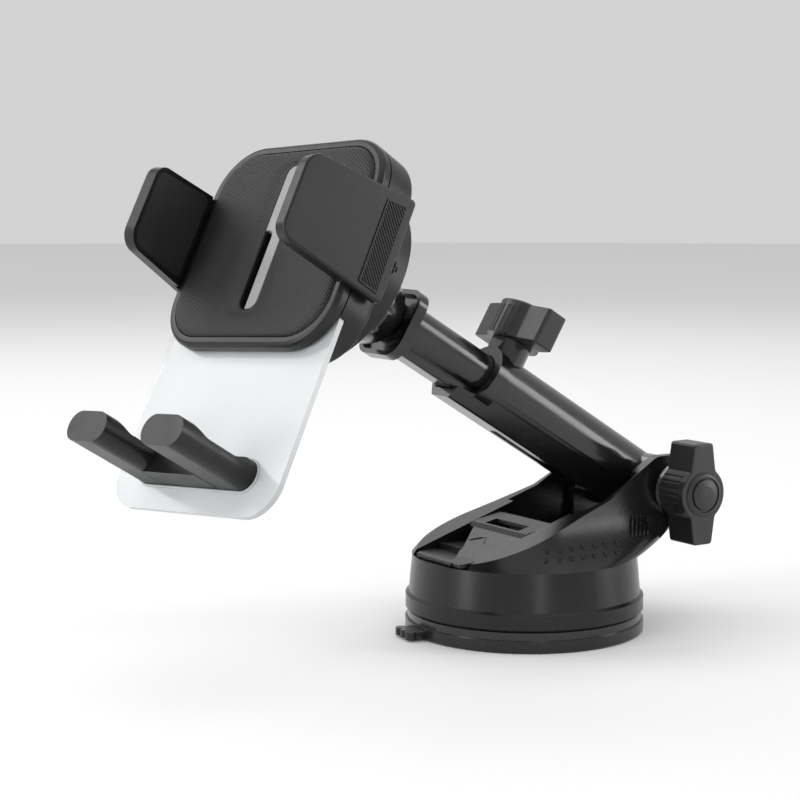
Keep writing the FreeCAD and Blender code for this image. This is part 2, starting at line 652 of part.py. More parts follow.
# the mouth is cut back along the top and leaves a tongue below
slab(outer, "X", [(-D.tube_length + 0.6, 16), (-D.tube_length - 1.2, 1), (-D.tube_length - 1.8, -5),
                  (-D.tube_length - 3.4, -8.0, 2), (-D.lug_length - 2, -8.8),
                  (-D.lug_length - 2, 16)], -20, 20, cut=True)
rod(outer, "Y", D.inner_radius + 0.3, (0, -D.lug_length - 2, 0), D.lug_length - 22, cut=True)
slab(outer, "Y", rectangle(-4.9, -D.inner_keel - 0.3, 4.9, 0), -D.lug_length - 2, -24, cut=True)
rod(outer, "X", D.bolt_radius + 0.05, (-30, 0, 0), 60, cut=True)
rod(outer, "Z", 3.9, (0, -D.clamp_at, 7), 20, cut=True)
slab(outer, "Z", [(-3.2, -19, 1.5), (3.2, -19, 1.5), (2.6, -64, 1.5), (-2.6, -64, 1.5)],
     -14, -D.tube_keel + 0.5, cut=True)

insert = body("clamp_insert", CLAMP)
turned(insert, "Z", [(2.52, -4.9), (3.9, -4.9), (3.9, -0.5), (2.52, -0.5)])

presser = body("pressure_pad", CLAMP)
rod(presser, "Z", 3.4, (0, 0, 8.1 - D.knob_seat), 1.9)

clamp_screw = body("clamp_screw", CLAMP)
rod(clamp_screw, "Z", 2.5, (0, 0, -5.9), 10.9)
slab(clamp_screw, "Z", [(4.6 * math.cos(math.radians(60 * k)),
                         4.6 * math.sin(math.radians(60 * k))) for k in range(6)], 4.0, 7.6)

clamp_knob = wing_knob("clamp_knob", CLAMP)
rod(clamp_knob, "Z", 2.55, (0, 0, -1), 6, cut=True)
slab(clamp_knob, "Z", [(4.65 * math.cos(math.radians(60 * k)),
                        4.65 * math.sin(math.radians(60 * k))) for k in range(6)],
     4.0, 9.4, cut=True)
clamp_cap = knob_cap("clamp_cap", CLAMP)

inner = body("inner_tube", ARM)
rod(inner, "Y", D.inner_radius, (0, -D.flange_at, 0), D.flange_at - D.inner_start)
slab(inner, "Y", rectangle(-4.6, -D.inner_keel, 4.6, 0, 1.2), -D.flange_at, -D.inner_start)
rod(inner, "Y", 5.6, (0, -D.flange_at + 9, 0), D.flange_at - D.inner_start, cut=True)
rod(inner, "Y", 3.1, (0, -D.flange_at - 1, D.ball_drop), 12, cut=True)
for sign in (-1, 1):
    slab(inner, "X", rectangle(-D.flange_at + 5, -7.4, -D.inner_start - 8, -6.5),
         sign * 4.1 if sign > 0 else -9, 9 if sign > 0 else -4.1, cut=True)

flange = body("end_flange", ARM)
slab(flange, "Y", rectangle(-D.flange_half, -13.4, D.flange_half, 10.6, 6.2),
     -D.flange_at - D.flange_depth, -D.flange_at)
slab(flange, "Y", rectangle(-D.flange_half + 1.6, -11.8, D.flange_half - 1.6, 9.0, 4.8),
     -D.flange_at - D.flange_depth - 1, -D.flange_at - 1.6, cut=True)
rod(flange, "Y", 3.1, (0, -D.flange_at - 5, D.ball_drop), 10, cut=True)

stud = body("ball_stud", BALL)
foot = D.ball_at - D.flange_at - 1.7
sphere(stud, D.ball_radius, (0, 0, 0))
turned(stud, "Y", [(0, 5), (4.4, 5), (3.6, 8.5), (3.6, foot - 2.2), (5.2, foot - 1.3),
                   (7.2, foot - 1.3), (7.2, foot), (3.0, foot), (3.0, foot + 8), (0, foot + 8)])

# ---------------------------------------------------------------------------------------------
# Ball joint seat and nut. In the head's frame n, the distance in front of the ball, is -Y.
# ---------------------------------------------------------------------------------------------
for label, low, high in (("seat_ring_rear", 2.4, 5.0), ("seat_ring_front", -5.0, -2.4)):
    seat = body(label, HEAD)
    sphere(seat, D.seat_outer, (0, 0, 0))
    block(seat, (-12, -12, -12), (12, low, 12), cut=True)
    block(seat, (-12, high, -12), (12, 12, 12), cut=True)
    sphere(seat, D.ball_radius + 0.1, (0, 0, 0), cut=True)

nut = body("ball_nut", HEAD)
turned(nut, "Y", [(0, -6.6), (14.4, -6.6), (14.8, -6.0), (14.6, -1.5), (11.2, 6.6), (10.4, 8.0),
                  (9.4, 8.0), (7.5, 6.3), (0, 6.3)])
rod(nut, "Y", 12.3, (0, -7, 0), 8.6, cut=True)
sphere(nut, D.socket_radius, (0, 0, 0), cut=True)
for turn in range(12):
    angle = math.radians(30 * turn + 15)
    rod(nut, "Y", 1.5, (15.4 * math.cos(angle), -8, 15.4 * math.sin(angle)), 12, cut=True)

# ---------------------------------------------------------------------------------------------
# Head housing
# ---------------------------------------------------------------------------------------------
def head_outline(inset, corner=None):
    return rectangle(-D.head_half + inset, D.head_bottom + inset, D.head_half - inset,
                     D.head_top - inset, (D.head_corner - inset) if corner is None else corner)


shell = body("head_shell", HEAD)
slab(shell, "Y", head_outline(0), -D.seam, -D.shell_back)
outer_edges = lambda middle, way, edge: (abs(middle.y + D.shell_back.value) < 1e-4
                                         and abs(way.y) < 1e-4)
round_edges(shell, 3.2, outer_edges)
turned(shell, "Y", [(0, -D.shell_back - 2), (D.drum_radius + 1.5, -D.shell_back - 2),
                    (D.drum_radius + 1.5, -D.shell_back), (D.drum_radius, -D.shell_back + 2),
                    (D.drum_radius, -D.drum_back - 1.2), (D.drum_radius - 1.2, -D.drum_back),
                    (16.5, -D.drum_back + 2.6), (13.4, -7.4), (12.2, -7.2), (12.2, 1.4), (0, 1.4)])
slab(shell, "Y", head_outline(2.6), -D.seam - 1, -30.4, cut=True)
turned(shell, "Y", [(0, -31), (28.4, -31), (28.4, -18.6), (13, -16.6), (0, -16.6)], cut=True)
sphere(shell, D.socket_radius, (0, 0, 0), cut=True)
rod(shell, "Y", D.socket_radius, (0, 0, 0), 3, cut=True)
# openings: racks at the sides, foot plate below, button behind
SLIDE_UP = 8.0
slab(shell, "Y", rectangle(-D.plate_half - 0.3, -60, D.plate_half + 0.3, D.plate_top + SLIDE_UP + 0.6),
     -D.seam - 0.5, -D.plate_back + 0.25, cut=True)
block(shell, (30, -D.rack_front - 0.4, 4.6), (45, -D.rack_back + 0.4, 11.4), cut=True)
block(shell, (-45, -D.rack_front - 0.4, -11.4), (-30, -D.rack_back + 0.4, -4.6), cut=True)
BUTTON = (0, 21.5)
rod(shell, "Y", 5.5, (0, -20, BUTTON[1]), 8, cut=True)
# pinion post on a bridge, pawl post, spring seat and screw bosses
block(shell, (-29, -30.4, -4.2), (29, -27.6, 4.2))
rod(shell, "Y", 2.0, (0, -36.8, 0), 7.5)
block(shell, (8.5, -30.4, 3), (16.5, -27.6, 29))
rod(shell, "Y", 1.6, (13, -36.4, 17), 7)
block(shell, (-28, -30.4, 17.5), (9, -27.6, 25.5))
block(shell, (3.6, -31.0, BUTTON[1] - 1.6), (6.4, -27.0, BUTTON[1] + 1.6), cut=True)
SCREW_AT = [(28, 22), (-28, 22), (33, 0), (-33, 0)]
for x, z in SCREW_AT:
    rod(shell, "Y", 2.6, (x, -D.seam, z), D.seam - 29.5)
for x, z in SCREW_AT:
    rod(shell, "Y", 1.35, (x, -D.seam - 1, z), D.seam - 20, cut=True)
    rod(shell, "Y", 2.3, (x, -30.2, z), 8, cut=True)

housing_screws = body("housing_screws", HEAD.multiply(frame(*(SCREW_AT[0][0], 0, SCREW_AT[0][1]))))
for number, (x, z) in enumerate(SCREW_AT):
    screw = housing_screws if number == 0 else extra(housing_screws, str(number))
    screw.Placement = HEAD.multiply(frame(x, 0, z))
    turned(screw, "Y", [(0, -42.6), (1.25, -42.2), (1.25, -30.2), (2.2, -30.2), (2.2, -28.6),
                        (1.9, -28.3), (0, -28.3)])
    block(screw, (-1.5, -29.2, -0.3), (1.5, -28, 0.3), cut=True)
    block(screw, (-0.3, -29.2, -1.5), (0.3, -28, 1.5), cut=True)

bezel = body("head_bezel", HEAD)
slab(bezel, "Y", head_outline(0), -D.bezel_front, -D.seam - 0.5)
round_edges(bezel, 1.6, lambda middle, way, edge: abs(middle.y + D.bezel_front.value) < 1e-4
            and abs(way.y) < 1e-4)
slab(bezel, "Y", head_outline(0.45), -D.seam - 0.5, -D.seam)
slab(bezel, "Y", head_outline(2.9), -D.bezel_front - 1, -D.bezel_front + 1.2, cut=True)
slab(bezel, "Y", rectangle(D.slot_left, D.slot_bottom, D.slot_right, D.slot_top, 3.4),
     -D.bezel_front, -D.bezel_front + 2.8, cut=True)
for x, z in SCREW_AT:
    rod(bezel, "Y", 1.3, (x, -42.8, z), 4, cut=True)

head_pad = body("head_pad", HEAD)
slab(head_pad, "Y", head_outline(3.0), -D.pad_face, -D.bezel_front + 1.2)
round_edges(head_pad, 0.9, lambda middle, way, edge: abs(middle.y + D.pad_face.value) < 1e-4
            and abs(way.y) < 1e-4)
slab(head_pad, "Y", rectangle(D.slot_left, D.slot_bottom, D.slot_right, D.slot_top, 3.4),
     -D.pad_face - 1, -40, cut=True)

# Bar set in the pad's channel: full width above, its right part only beside the deep slot.
slot_bar = body("slot_bar", HEAD)
slab(slot_bar, "Y", [(D.slot_left + 0.1, D.bar_shoulder), (D.bar_step, D.bar_shoulder, 2.6),
                     (D.bar_step, D.slot_bottom + 0.1),
                     (D.slot_right - 0.1, D.slot_bottom + 0.1, 3.3),
                     (D.slot_right - 0.1, D.slot_top - 0.1, 3.3),
                     (D.slot_left + 0.1, D.slot_top - 0.1, 3.3)],
     -D.pad_face + 0.5, -D.bezel_front + 2.8)
round_edges(slot_bar, 0.3, lambda middle, way, edge: abs(middle.y + D.pad_face.value - 0.5) < 1e-4
            and abs(way.y) < 1e-4)

# ---------------------------------------------------------------------------------------------
# Rack and pinion drive of the clamp arms, with its torsion spring, pawl and release button
# ---------------------------------------------------------------------------------------------
TEETH = 12
PITCH = math.pi * D.gear_module
PLAY = 0.34                      # taken off each tooth at the pitch line


def involute_gear():
    """Outline of the pinion, flanks followed by short straight steps."""
    pitch = D.pinion_radius.value
    base = pitch * math.cos(math.radians(20))
    tip, root = pitch + 0.8, pitch - 1.15
    spread = math.tan(math.radians(20)) - math.radians(20)
    half = math.pi / (2 * TEETH) - PLAY / (2 * pitch)
    flank = []
    for step in range(5):
        radius = base + (tip - base) * step / 4
        roll = math.sqrt((radius / base) ** 2 - 1)
        flank.append((radius, half + spread - (roll - math.atan(roll))))
    outline = []
    for tooth in range(TEETH):
        middle = 2 * math.pi * (tooth + 0.5) / TEETH + math.pi / 2
        outline.append((root, middle - flank[0][1] - 0.02))
        outline += [(radius, middle - angle) for radius, angle in flank]
        outline += [(radius, middle + angle) for radius, angle in reversed(flank)]
        outline.append((root, middle + flank[0][1] + 0.02))
    return [(radius * math.cos(a), radius * math.sin(a)) for radius, a in outline]


pinion = body("pinion", HEAD)
slab(pinion, "Y", involute_gear(), -D.rack_front, -D.rack_back, more=[(0, 0, 2.05)])

pinion_spring = body("pinion_spring", HEAD.multiply(frame(0, -30.6, 0, Rotation(Vector(1, 0, 0), 90))))
coil(pinion_spring, 3.3, 0.35, 0, 2.2, 2.0)


def rack_outline(first, last):
    """Right-hand rack in the X-Z plane: teeth point down at the pinion."""
    pitch = D.pinion_radius
    slope = math.tan(math.radians(20))
    half = (math.pi * D.gear_module.value) / 4 - PLAY / 2
    points = [(first, 10.6), (first, pitch + 1.2)]
    count = int((last - first) // PITCH.value)
    for tooth in range(-5, count - 4):
        x = tooth * PITCH.value
        if x - 1.5 < first or x + 1.5 > 12:
            continue
        points += [(x - half - 1.2 * slope, pitch + 1.2), (x - half + 0.8 * slope, pitch - 0.8),
                   (x + half - 0.8 * slope, pitch - 0.8), (x + half + 1.2 * slope, pitch + 1.2)]
    points += [(last, pitch + 1.2), (last, 10.6)]
    return points


def pad_outline(front, top, bottom, tip_top, tip_bottom):
    return [(-12.9, bottom + 2.6, 2), (-12.9, top - 2.8, 2), (front + 1.5, tip_top - 0.9, 5),
            (front + 1.5, tip_bottom + 1.1, 4)]


def clamp_arm(label, side):
    """Arm plate that leans in towards its tip, with a rim round its pad."""
    place = HEAD if side > 0 else HEAD.multiply(frame(rotation=Rotation(Vector(0, 1, 0), 180)))
    flip = 1 if side > 0 else -1
    top, bottom = (D.arm_top, D.arm_bottom) if side > 0 else (-D.arm_bottom, -D.arm_top)
    tip_top, tip_bottom = ((D.arm_tip_top, D.arm_tip_bottom) if side > 0
                           else (-D.arm_tip_bottom, -D.arm_tip_top))
    arm = body(label, place)
    lean = Rotation(Vector(0, 0, 1), -D.arm_lean.value)
    start = place.multiply(frame(D.arm_root, -D.arm_root_n, 0, lean))
    shift = D.arm_root_n
    arm.Placement = start
    rear, front = shift - D.arm_back, shift - D.arm_front
    slab(arm, "X", [(rear, bottom, 1.5), (rear, top, 1.5), (front, tip_top, 6),
                    (front, tip_bottom, 5)], -D.arm_plate, 0)
    round_edges(arm, 0.7, lambda middle, way, edge: abs(middle.x) < 1e-4 and abs(way.x) < 1e-4)
    # rim round the pad
    edge_top = tip_top + (top - tip_top) * ((11.6 + front) / (front - rear))
    edge_bottom = tip_bottom + (bottom - tip_bottom) * ((11.6 + front) / (front - rear))
    slab(arm, "X", [(-11.6, edge_bottom), (-11.6, edge_top), (front, tip_top, 6),
                    (front, tip_bottom, 5)], -D.arm_plate - D.arm_pad - 0.3, -D.arm_plate)
    slab(arm, "X", pad_outline(front, top, bottom, tip_top, tip_bottom),
         -D.arm_plate - D.arm_pad - 1, -D.arm_plate, cut=True)
    return arm, start, (rear, front, top, bottom, tip_top, tip_bottom)


arms = {}
for label, side in (("clamp_arm_right", 1), ("clamp_arm_left", -1)):
    arm, start, edges = clamp_arm(label, side)
    arms[label] = (arm, start, edges)
    rear, front, top, bottom, tip_top, tip_bottom = edges
    name = label.split("_")[-1]
    pad_piece = body(f"arm_pad_{name}", start)
    slab(pad_piece, "X", pad_outline(front, top, bottom, tip_top, tip_bottom),
         -D.arm_plate - D.arm_pad, -D.arm_plate)
    grip = body(f"arm_grip_{name}", start)
    slab(grip, "X", [(rear - 2.8, bottom + 2.0, 0.6), (rear - 2.8, top - 3.2, 0.6),
                     (rear - 10.4, top - 4.6, 0.6), (rear - 10.4, bottom + 2.6, 0.6)], 0, 0.45)
    # rack, a separate slide screwed to the arm's root
    place = HEAD if side > 0 else HEAD.multiply(frame(rotation=Rotation(Vector(0, 1, 0), 180)))
    rack = body(f"rack_{name}", place)
    slab(rack, "Y", rack_outline(-15.5, 38.9), -D.rack_front, -D.rack_back)

pawl = body("pawl", HEAD)
slab(pawl, "Y", [(6.6, 20.2, 1), (6.6, 23.2, 1), (14.6, 20.4, 2), (16.2, 15.6, 2), (9.4, 10.9),
                 (8.4, 11.2), (10.4, 16.2, 2), (9.6, 19.2, 1)],
     -36.0, -33.4, more=[(13, 17, 1.65)])

button = body("release_button", HEAD.multiply(frame(0, 0, BUTTON[1])))
turned(button, "Y", [(0, -22.4), (6.6, -22.4), (6.6, -20.6), (5.2, -20.6), (5.2, -14.9),
                     (4.4, -14.3), (0, -14.1)])
rod(button, "Y", 3.6, (0, -23, 0), 5, cut=True)
# the finger that reaches through the bridge and turns the pawl's tail
block(button, (4.0, -34.0, -1.2), (6.0, -21.0, 1.2))

button_spring = body("button_spring", HEAD.multiply(
    frame(0, -27.5, BUTTON[1], Rotation(Vector(1, 0, 0), -90))))
coil(button_spring, 2.7, 0.3, 0.05, 9.3, 6)

# ---------------------------------------------------------------------------------------------
# Clear foot plate with the two-pronged foot
# ---------------------------------------------------------------------------------------------
plate = body("foot_plate", HEAD)
slab(plate, "Y", [(-D.plate_half, D.plate_bottom, 11), (D.plate_half, D.plate_bottom, 11),
                  (D.plate_half, D.plate_top, 6), (-D.plate_half, D.plate_top, 6)],
     -D.plate_front, -D.plate_back)
FORK_Z = (D.fork_top + D.fork_bottom) / 2
for sign in (-1, 1):
    rod(plate, "Y", 1.55, (sign * 13, -50, FORK_Z), 20, cut=True)

fork = body("foot_fork", HEAD)
reach = D.prong_reach
for sign in (-1, 1):
    centre = sign * D.prong_at
    slab(fork, "Y", rectangle(centre - D.prong_half, D.fork_bottom, centre + D.prong_half,
                              D.fork_top, 4.7), -reach, -D.plate_front)
slab(fork, "Y", rectangle(-12, D.fork_bottom, 12, D.fork_top - 2.6), -D.plate_front - 10.5,
     -D.plate_front)
# the tops dip behind the raised tips
slab(fork, "X", [(-reach + 4.6, D.fork_top + 4), (-reach + 4.6, D.fork_top, 1.2),
                 (-reach + 9.5, D.fork_top - 2.6, 5), (-D.plate_front - 4, D.fork_top - 2.8, 4),
                 (-D.plate_front - 1.5, D.fork_top + 4)], -40, 40, cut=True)
for sign in (-1, 1):
    rod(fork, "Y", 1.25, (sign * 13, -D.plate_front - 7, FORK_Z), 8, cut=True)

fork_screws = body("fork_screws", HEAD.multiply(frame(13, 0, FORK_Z)))
for number, x in enumerate((13, -13)):
    screw = fork_screws if number == 0 else extra(fork_screws, str(number))
    screw.Placement = HEAD.multiply(frame(x, 0, FORK_Z))
    turned(screw, "Y", [(0, -46), (1.2, -45.6), (1.2, -D.plate_back), (2.6, -D.plate_back),
                        (2.6, -D.plate_back + 0.9), (1.6, -D.plate_back + 1.5),
                        (0, -D.plate_back + 1.5)])
    block(screw, (-1.3, -D.plate_back + 0.8, -0.3), (1.3, -D.plate_back + 2, 0.3), cut=True)

# ---------------------------------------------------------------------------------------------
# Check and export
# ---------------------------------------------------------------------------------------------
doc.recompute()
for item in doc.Objects:
    if "Invalid" in item.State or "Error" in item.State:
        raise RuntimeError(f"{item.Name} failed: {item.State}")
os.makedirs("parts", exist_ok=True)
for part in PARTS:
    pieces = [part] + EXTRAS.get(part.Label, [])
    for piece in pieces:
        if piece.Shape.isNull() or not piece.Shape.isValid():
            raise RuntimeError(f"{piece.Label} has no valid shape")
        if len(piece.Shape.Solids) != 1:
            raise RuntimeError(f"{piece.Label} is {len(piece.Shape.Solids)} solids")
    if len(pieces) == 1:
        part.Shape.exportStep(f"parts/{part.Label}.step")
        continue
    group = doc.addObject("Part::Compound", f"{part.Label}_all")
    group.Links = pieces
    doc.recompute()
    group.Shape.exportStep(f"parts/{part.Label}.step")
print(f"{len(PARTS)} parts written")
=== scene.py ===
import json
import math

import bmesh
import bpy
from mathutils import Matrix, Vector
from mathutils.bvhtree import BVHTree


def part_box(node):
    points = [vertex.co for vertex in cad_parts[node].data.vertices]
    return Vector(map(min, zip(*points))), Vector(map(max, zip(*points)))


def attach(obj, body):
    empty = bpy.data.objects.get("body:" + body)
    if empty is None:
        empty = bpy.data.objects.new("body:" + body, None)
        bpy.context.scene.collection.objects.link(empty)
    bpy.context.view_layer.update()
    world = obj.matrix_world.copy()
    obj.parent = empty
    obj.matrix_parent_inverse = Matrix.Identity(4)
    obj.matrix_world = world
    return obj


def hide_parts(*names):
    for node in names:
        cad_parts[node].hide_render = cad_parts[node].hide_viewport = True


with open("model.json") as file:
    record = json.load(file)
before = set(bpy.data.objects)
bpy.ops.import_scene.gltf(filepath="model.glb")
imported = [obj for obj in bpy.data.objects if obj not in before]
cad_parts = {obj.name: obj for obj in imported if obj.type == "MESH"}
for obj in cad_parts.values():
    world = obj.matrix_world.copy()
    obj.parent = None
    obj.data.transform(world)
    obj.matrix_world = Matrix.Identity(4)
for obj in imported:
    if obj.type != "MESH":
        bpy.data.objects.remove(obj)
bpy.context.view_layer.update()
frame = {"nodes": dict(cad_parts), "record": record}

MM = 0.001
NODES = frame["nodes"]
JOINTS = {joint["name"]: joint for joint in frame["record"]["behaviour"]["joints"]}
BALL = Vector(JOINTS["ball_yaw"]["pos_m"])
HEAD_R = Vector(JOINTS["ball_tilt"]["axis"])      # towards the right clamp arm
HEAD_U = Vector(JOINTS["ball_yaw"]["axis"])       # up the face of the head
HEAD_N = Vector(JOINTS["nut_turn"]["axis"])       # out of the face of the head


def axes_matrix(x, y, z, origin):
    made = Matrix.Identity(4)
    for column, axis in enumerate((x, y, z, origin)):
        made.col[column][:3] = axis
    return made


# head frame: X to the right arm, Y backwards, Z up the face, in metres about the ball's centre
HEAD = axes_matrix(HEAD_R, -HEAD_N, HEAD_U, BALL)


def head_box(node):
    """Lowest and highest corner of a node along the head's own axes (right, out, up), in mm."""
    spots = [vertex.co - BALL for vertex in NODES[node].data.vertices]
    sides = [[spot.dot(axis) / MM for spot in spots] for axis in (HEAD_R, HEAD_N, HEAD_U)]
    return Vector([min(side) for side in sides]), Vector([max(side) for side in sides])


# ---------------------------------------------------------------------------------------------
# Materials
# ---------------------------------------------------------------------------------------------
class Graph:
    """A small helper for one material's nodes."""

    def __init__(self, name):
        self.material = bpy.data.materials.new(name)
        self.material.use_nodes = True
        self.tree = self.material.node_tree
        self.shader = self.tree.nodes["Principled BSDF"]
        self.place = self.tree.nodes.new("ShaderNodeTexCoord").outputs["Object"]

    def add(self, kind, inputs=None, **settings):
        node = self.tree.nodes.new(kind)
        for key, value in settings.items():
            setattr(node, key, value)
        for key, value in (inputs or {}).items():
            if isinstance(value, bpy.types.NodeSocket):
                self.tree.links.new(value, node.inputs[key])
            else:
                node.inputs[key].default_value = value
        return node

    def noise(self, scale, detail=3.0, vector=None, roughness=0.5):
        return self.add("ShaderNodeTexNoise", {
            "Vector": vector or self.place, "Scale": scale, "Detail": detail,
            "Roughness": roughness}).outputs["Fac"]

    def math(self, operation, a, b=0.0, clamp=False):
        return self.add("ShaderNodeMath", {0: a, 1: b}, operation=operation,
                        use_clamp=clamp).outputs[0]

    def span(self, value, low, high, to_low=0.0, to_high=1.0):
        return self.add("ShaderNodeMapRange", {
            "Value": value, "From Min": low, "From Max": high, "To Min": to_low,
            "To Max": to_high}).outputs["Result"]

    def colours(self, value, first, second):
        ramp = self.add("ShaderNodeValToRGB", {"Fac": value})
        ramp.color_ramp.elements[0].color = (*first, 1)
        ramp.color_ramp.elements[1].color = (*second, 1)
        return ramp.outputs["Color"]

    def bump(self, height, distance):
        return self.add("ShaderNodeBump", {
            "Height": height, "Distance": distance, "Strength": 1.0}).outputs["Normal"]

    def shade(self, **sockets):
        for key, value in sockets.items():
            name = key.replace("_", " ")
            if isinstance(value, bpy.types.NodeSocket):
                self.tree.links.new(value, self.shader.inputs[name])
            else:
                self.shader.inputs[name].default_value = value
        return self.material


def moulded(name, dark, light, rough, grain, grain_depth, specular=0.5):
    """Moulded plastic: broad tone variation, fine spark-eroded grain and faint handling marks."""
    g = Graph(name)
    tone = g.span(g.noise(38, 4), 0.3, 0.7)
    skin = g.noise(grain, 2)
    smear = g.span(g.noise(120, 5, roughness=0.65), 0.35, 0.7, rough - 0.035, rough + 0.05)
    return g.shade(Base_Color=g.colours(tone, dark, light), Roughness=smear,
                   Specular_IOR_Level=specular, Normal=g.bump(skin, grain_depth))


def polished(name, dark, light, rough, coat):
    """Polished plastic: deep colour, orange-peel waviness and hairline wipe marks."""
    g = Graph(name)
    tone = g.span(g.noise(30, 3), 0.3, 0.7)
    stretched = g.add("ShaderNodeMapping", {"Vector": g.place, "Scale": (1, 0.06, 0.3)})
    wipes = g.noise(900, 3, stretched.outputs["Vector"])
    shine = g.span(wipes, 0.35, 0.75, rough - 0.03, rough + 0.06)
    peel = g.bump(g.noise(420, 2), 0.000012)
    made = g.shade(Base_Color=g.colours(tone, dark, light), Roughness=shine, Normal=peel)
    g.shader.inputs["Coat Weight"].default_value = coat
    g.shader.inputs["Coat Roughness"].default_value = 0.12
    return made


def metal(name, colour, rough):
    """Plated steel with fine turning lines."""
    g = Graph(name)
    brushed = g.add("ShaderNodeMapping", {"Vector": g.place, "Scale": (1, 8, 1)})
    lines = g.noise(500, 4, brushed.outputs["Vector"])
    dark = tuple(0.8 * part for part in colour)
    return g.shade(Base_Color=g.colours(lines, dark, colour), Metallic=1.0,
                   Roughness=g.span(lines, 0.3, 0.7, rough - 0.06, rough + 0.1),
                   Normal=g.bump(lines, 0.00001))


def rubber(name, dark, light, rough, grain=1500, depth=0.00003):
    """Moulded rubber: fine grain, slight tone variation and a faint dusty sheen."""
    g = Graph(name)
    fine = g.noise(grain, 3)
    tone = g.span(g.noise(60, 4), 0.3, 0.7)
    made = g.shade(Base_Color=g.colours(tone, dark, light),
                   Roughness=g.span(fine, 0.3, 0.7, rough - 0.06, rough + 0.08),
                   Normal=g.bump(fine, depth))
    g.shader.inputs["Sheen Weight"].default_value = 0.08
    g.shader.inputs["Sheen Roughness"].default_value = 0.45
    return made


def woven(name):
    """Moulded rubber with a fine twill relief, set along the head's own axes; its grooves carry painted
    shade and its ridge tops a painted highlight.
    """
    g = Graph(name)
    pitch = 0.00082
    ridges = []
    for angle in (52, -38):
        turned = g.add("ShaderNodeMapping", {
            "Vector": g.place, "Rotation": (0, math.radians(angle), 0)})
        split = g.add("ShaderNodeSeparateXYZ", {"Vector": turned.outputs["Vector"]})
        wave = g.math("MULTIPLY", split.outputs["X"], 2 * math.pi / pitch)
        ridges.append(g.math("SINE", wave))
    weave = g.math("MULTIPLY_ADD", ridges[0], 0.32)
    weave.node.inputs[2].default_value = 0.5
    cross = g.math("MULTIPLY", ridges[1], 0.2)
    height = g.math("ADD", weave, cross)
    patch = g.span(g.noise(45, 3), 0.3, 0.7, -0.06, 0.06)
    # the colour follows the weave's height: painted shade in the grooves, painted highlight on the ridge
    # tops; patch adds random tone
    tone = g.math("ADD", height, patch, clamp=True)
    colour = g.colours(tone, (0.004, 0.004, 0.0043), (0.022, 0.022, 0.0225))
    made = g.shade(Base_Color=colour, Roughness=g.span(tone, 0, 1, 0.58, 0.42),
                   Normal=g.bump(height, 0.00012))
    g.shader.inputs["Specular IOR Level"].default_value = 0.36
    return made


def frosted(name):
    """Clear acrylic, lightly frosted: light passes but nothing shows sharply behind it."""
    g = Graph(name)
    cloud = g.span(g.noise(28, 3), 0.3, 0.7)
    smear = g.noise(90, 4)
    made = g.shade(Base_Color=g.colours(cloud, (0.70, 0.72, 0.735), (0.78, 0.80, 0.81)),
                   Roughness=g.span(smear, 0.3, 0.7, 0.13, 0.19))
    g.shader.inputs["Transmission Weight"].default_value = 0.45
    g.shader.inputs["IOR"].default_value = 1.49
    return made


GLOSS = polished("gloss_black", (0.005, 0.005, 0.0055), (0.010, 0.010, 0.011), 0.2, 0.35)
SATIN = moulded("satin_black", (0.004, 0.004, 0.0043), (0.008, 0.008, 0.0083), 0.26, 2600,
                0.000015, 0.36)
SATIN_HEAD = moulded("satin_head", (0.006, 0.006, 0.0063), (0.011, 0.011, 0.0113), 0.34, 2400,
                     0.000022, 0.36)
SATIN_KNOB = moulded("satin_knob", (0.014, 0.014, 0.015), (0.024, 0.024, 0.025), 0.34, 2200,
                     0.00002)
STEEL = metal("steel", (0.62, 0.62, 0.64), 0.28)
CUP = rubber("cup_rubber", (0.004, 0.004, 0.0043), (0.008, 0.008, 0.0083), 0.24, 1500, 0.00001)
SOFT = rubber("soft_black", (0.02, 0.02, 0.021), (0.033, 0.033, 0.034), 0.55)
ARM_SOFT = rubber("arm_rubber", (0.012, 0.012, 0.0125), (0.02, 0.02, 0.0205), 0.5, 2200, 0.00001)
WOVEN = woven("woven_rubber")
PLATE = frosted("frosted_acrylic")
BAR = moulded("satin_grey", (0.20, 0.20, 0.205), (0.27, 0.27, 0.275), 0.38, 2400, 0.00001)

FINISH = {
    "suction_pad": CUP, "foot_plate": PLATE, "slot_bar": BAR, "head_pad": SOFT,
    "arm_pad_right": ARM_SOFT, "arm_pad_left": ARM_SOFT, "pressure_pad": SOFT,
    "friction_discs": SOFT,
    "arm_grip_right": SATIN_HEAD, "arm_grip_left": SATIN_HEAD,
    "head_shell": SATIN_HEAD, "head_bezel": SATIN_HEAD, "clamp_arm_right": SATIN_HEAD,
    "clamp_arm_left": SATIN_HEAD, "foot_fork": SATIN_HEAD, "rack_right": SATIN_HEAD,
    "rack_left": SATIN_HEAD, "pivot_knob": SATIN_KNOB, "clamp_knob": SATIN_KNOB,
    "pivot_cap": SATIN_KNOB, "clamp_cap": SATIN_KNOB, "base_cover": SATIN, "base_skirt": SATIN,
    "lock_lever": SATIN, "plunger": SATIN,
}
GLOSSY = ("trim_ring", "outer_tube", "inner_tube", "end_flange", "ball_nut", "ball_stud")
for node in GLOSSY:
    FINISH[node] = GLOSS
SLOT_DEFAULT = {"steel": STEEL, "satin_black": SATIN, "gloss_black": GLOSS, "grip_rubber": SOFT,
                "cup_rubber": CUP, "frosted_plate": PLATE, "satin_grey": BAR}
for row in frame["record"]["subparts"]:
    node = NODES[row["node"]]
    finish = FINISH.get(row["node"], SLOT_DEFAULT[row["material_slot"]])
    node.data.materials.clear()
    node.data.materials.append(finish)


# ---------------------------------------------------------------------------------------------
# Mesh helpers
# ---------------------------------------------------------------------------------------------
def piece(name, mesh, finish, body, place=None, smooth=True):
    """An object of its own that rides on a body, with its finish."""
    made = bpy.data.objects.new(name, mesh)
    bpy.context.scene.collection.objects.link(made)
    mesh.materials.clear()
    mesh.materials.append(finish)
    if smooth:
        for polygon in mesh.polygons:
            polygon.use_smooth = True
    if place is not None:
        made.matrix_world = place
    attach(made, body)
    return made


